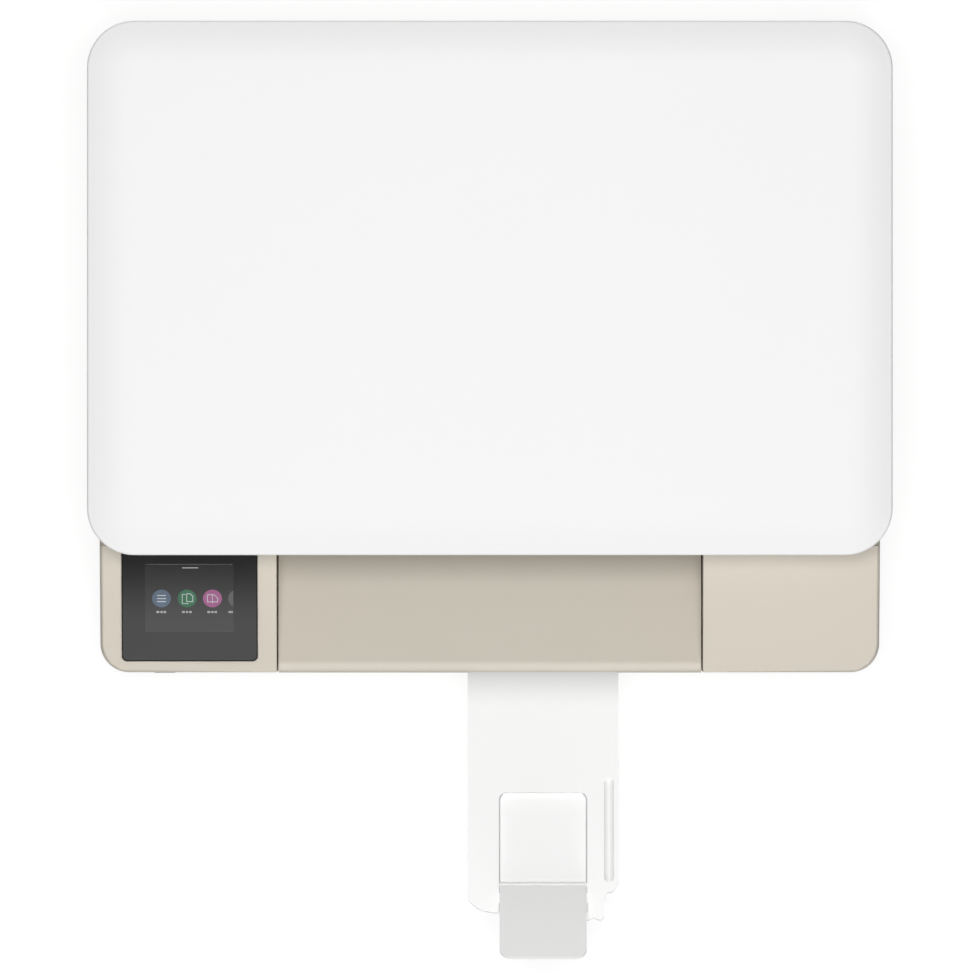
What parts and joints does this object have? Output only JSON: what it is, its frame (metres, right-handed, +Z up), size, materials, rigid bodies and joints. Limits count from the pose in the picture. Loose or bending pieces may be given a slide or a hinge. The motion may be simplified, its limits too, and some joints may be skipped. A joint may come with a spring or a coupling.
{
  "type": "inkjet printer",
  "caption": "All-in-one inkjet printer: flatbed scanner with lid over a front-loading print engine, sloping control panel, output bin with extender and stop flap.",
  "frame": {"origin": "middle of the footprint's bounding box, at the underside of the feet, with the tray extender pulled out", "axes": "+X to the right seen from the front, +Y from the front to the rear, +Z up"},
  "size_m": [0.4584, 0.535, 0.191],
  "materials": {
    "casing": "fine satin grain, warm grey-beige",
    "white_casing": "soft gloss white",
    "liner": "matte white pad",
    "light_grey": "satin light grey",
    "guide_grey": "satin grey",
    "gear_plastic": "natural acetal",
    "pinion_brass": "machined",
    "dark_frame": "glass-filled dark grey",
    "black_plastic": "moulded black",
    "cartridge": "moulded dark grey",
    "rubber": "moulded black rubber",
    "steel": "plated sheet and ground bar",
    "roller_plastic": "light grey acetal",
    "board": "soldermask",
    "control_glass": "black gloss panel",
    "display": "dark display",
    "scan_glass": "clear float glass"
  },
  "bodies": {
    "chassis": {"base_pan": "dark_frame", "feet": "rubber", "side_cover_left": "casing", "side_cover_right": "casing", "rear_cover": "casing", "front_fascia_left": "casing", "front_fascia_right": "casing", "control_glass": "control_glass", "display_screen": "display", "output_tray": "casing", "engine_frame": "dark_frame", "platen": "black_plastic", "rear_paper_guide": "black_plastic", "feed_motor": "steel", "drive_plate": "steel", "pinch_holder": "black_plastic", "star_holder": "black_plastic", "side_frames": "steel", "guide_rod": "steel", "carriage_rail": "steel", "carriage_belt": "rubber", "carriage_motor": "steel", "service_station": "dark_frame", "main_board": "board", "power_supply": "black_plastic"},
    "power_button": {"power_button": "light_grey"},
    "extender": {"tray_extender": "white_casing"},
    "paper_stop": {"paper_stop": "light_grey"},
    "paper_tray": {"paper_tray": "casing"},
    "width_guide_left": {"width_guide_left": "guide_grey"},
    "width_guide_right": {"width_guide_right": "guide_grey"},
    "guide_pinion": {"guide_pinion": "guide_grey"},
    "length_guide": {"length_guide": "guide_grey"},
    "feed": {"feed_roller": "steel", "feed_gear": "gear_plastic"},
    "exit": {"exit_shaft": "steel", "exit_rolls": "rubber", "exit_gear": "gear_plastic"},
    "idler_gear": {"idler_gear": "gear_plastic"},
    "motor_pinion": {"motor_pinion": "pinion_brass"},
    "pinch_rollers": {"pinch_rollers": "roller_plastic"},
    "star_wheels": {"star_wheels": "steel"},
    "carriage": {"carriage": "dark_frame"},
    "cartridge_black": {"cartridge_black": "black_plastic"},
    "cartridge_colour": {"cartridge_colour": "cartridge"},
    "belt_pulley": {"belt_pulley": "roller_plastic"},
    "belt_idler": {"belt_idler": "roller_plastic"},
    "turn_roller": {"turn_roller": "black_plastic"},
    "pick_arm": {"pick_arm": "light_grey"},
    "pick_roller": {"pick_roller": "rubber"},
    "rear_door": {"rear_door": "casing"},
    "scanner": {"scanner_base": "white_casing", "scanner_frame": "white_casing", "scan_glass": "scan_glass", "scan_rod": "steel", "prop_arms": "dark_frame"},
    "scan_head": {"scan_head": "dark_frame"},
    "lid_hinges": {"lid_hinge_posts": "light_grey"},
    "lid": {"lid_cover": "white_casing", "lid_liner": "liner"}
  },
  "joints": [
    {"name": "button_press", "type": "slide", "parent": "chassis", "child": "power_button", "axis": [0, 1, 0], "range_m": [0, 0.0015], "stiffness_N_per_m": 300},
    {"name": "extender_slide", "type": "slide", "parent": "chassis", "child": "extender", "axis": [0, 0.9945, -0.1045], "range_m": [0, 0.116]},
    {"name": "paper_stop_fold", "type": "hinge", "parent": "extender", "child": "paper_stop", "pos_m": [0, -0.22553, 0.10628], "axis": [-1, 0, 0], "range_deg": [0, 150]},
    {"name": "tray_slide", "type": "slide", "parent": "chassis", "child": "paper_tray", "axis": [0, -1, 0], "range_m": [0, 0.18]},
    {"name": "width_left_slide", "type": "slide", "parent": "paper_tray", "child": "width_guide_left", "axis": [1, 0, 0], "range_m": [0, 0.057]},
    {"name": "width_right_slide", "type": "slide", "parent": "paper_tray", "child": "width_guide_right", "axis": [-1, 0, 0], "range_m": [0, 0.057]},
    {"name": "guide_pinion_turn", "type": "hinge", "parent": "paper_tray", "child": "guide_pinion", "pos_m": [0, 0.09619, 0.011], "axis": [0, 0, -1], "range_deg": [0, 275]},
    {"name": "length_guide_slide", "type": "slide", "parent": "paper_tray", "child": "length_guide", "axis": [0, 1, 0], "range_m": [0, 0.13]},
    {"name": "feed_spin", "type": "hinge", "parent": "chassis", "child": "feed", "pos_m": [0, 0.06679, 0.0935], "axis": [1, 0, 0], "continuous": true},
    {"name": "exit_spin", "type": "hinge", "parent": "chassis", "child": "exit", "pos_m": [0, 0.02279, 0.095], "axis": [1, 0, 0], "continuous": true},
    {"name": "idler_spin", "type": "hinge", "parent": "chassis", "child": "idler_gear", "pos_m": [-0.135, 0.04291, 0.0861], "axis": [1, 0, 0], "continuous": true},
    {"name": "motor_spin", "type": "hinge", "parent": "chassis", "child": "motor_pinion", "pos_m": [-0.135, 0.05893, 0.07403], "axis": [1, 0, 0], "continuous": true},
    {"name": "pinch_spin", "type": "hinge", "parent": "chassis", "child": "pinch_rollers", "pos_m": [0, 0.06679, 0.1052], "axis": [1, 0, 0], "continuous": true},
    {"name": "star_spin", "type": "hinge", "parent": "chassis", "child": "star_wheels", "pos_m": [0, 0.02279, 0.1052], "axis": [1, 0, 0], "continuous": true},
    {"name": "carriage_slide", "type": "slide", "parent": "chassis", "child": "carriage", "axis": [-1, 0, 0], "range_m": [0, 0.31]},
    {"name": "black_pull", "type": "slide", "parent": "carriage", "child": "cartridge_black", "axis": [0, -1, 0], "range_m": [0, 0.045]},
    {"name": "colour_pull", "type": "slide", "parent": "carriage", "child": "cartridge_colour", "axis": [0, -1, 0], "range_m": [0, 0.045]},
    {"name": "pulley_spin", "type": "hinge", "parent": "chassis", "child": "belt_pulley", "pos_m": [-0.1913, 0.09079, 0.128], "axis": [0, 0, -1], "continuous": true},
    {"name": "belt_idler_spin", "type": "hinge", "parent": "chassis", "child": "belt_idler", "pos_m": [0.1913, 0.09079, 0.128], "axis": [0, 0, -1], "continuous": true},
    {"name": "turn_roller_spin", "type": "hinge", "parent": "chassis", "child": "turn_roller", "pos_m": [0, 0.22649, 0.076], "axis": [1, 0, 0], "continuous": true},
    {"name": "pick_arm_swing", "type": "hinge", "parent": "chassis", "child": "pick_arm", "pos_m": [0, 0.12979, 0.072], "axis": [-1, 0, 0], "range_deg": [0, 40]},
    {"name": "pick_roller_spin", "type": "hinge", "parent": "pick_arm", "child": "pick_roller", "pos_m": [0, 0.16847, 0.06378], "axis": [1, 0, 0], "continuous": true},
    {"name": "rear_door_swing", "type": "hinge", "parent": "chassis", "child": "rear_door", "pos_m": [0, 0.26449, 0.0628], "axis": [-1, 0, 0], "range_deg": [0, 60]},
    {"name": "scanner_lift", "type": "hinge", "parent": "chassis", "child": "scanner", "pos_m": [0, 0.25249, 0.147], "axis": [-1, 0, 0], "range_deg": [0, 45]},
    {"name": "scan_head_slide", "type": "slide", "parent": "scanner", "child": "scan_head", "axis": [1, 0, 0], "range_m": [0, 0.314]},
    {"name": "lid_lift", "type": "slide", "parent": "scanner", "child": "lid_hinges", "axis": [0, 0, 1], "range_m": [0, 0.012]},
    {"name": "lid_swing", "type": "hinge", "parent": "lid_hinges", "child": "lid", "pos_m": [0, 0.26299, 0.1712], "axis": [-1, 0, 0], "range_deg": [0, 85]}
  ],
  "couplings": [
    {"joint": "width_right_slide", "follows": "width_left_slide", "ratio": 1},
    {"joint": "guide_pinion_turn", "follows": "width_left_slide", "rad_per_m": 83.333},
    {"joint": "exit_spin", "follows": "feed_spin", "ratio": 1.25},
    {"joint": "idler_spin", "follows": "feed_spin", "ratio": -1.5},
    {"joint": "motor_spin", "follows": "feed_spin", "ratio": -2.5},
    {"joint": "pinch_spin", "follows": "feed_spin", "ratio": -1.875},
    {"joint": "star_spin", "follows": "feed_spin", "ratio": -1.875},
    {"joint": "pulley_spin", "follows": "carriage_slide", "rad_per_m": 166.67},
    {"joint": "belt_idler_spin", "follows": "carriage_slide", "rad_per_m": 166.67}
  ]
}
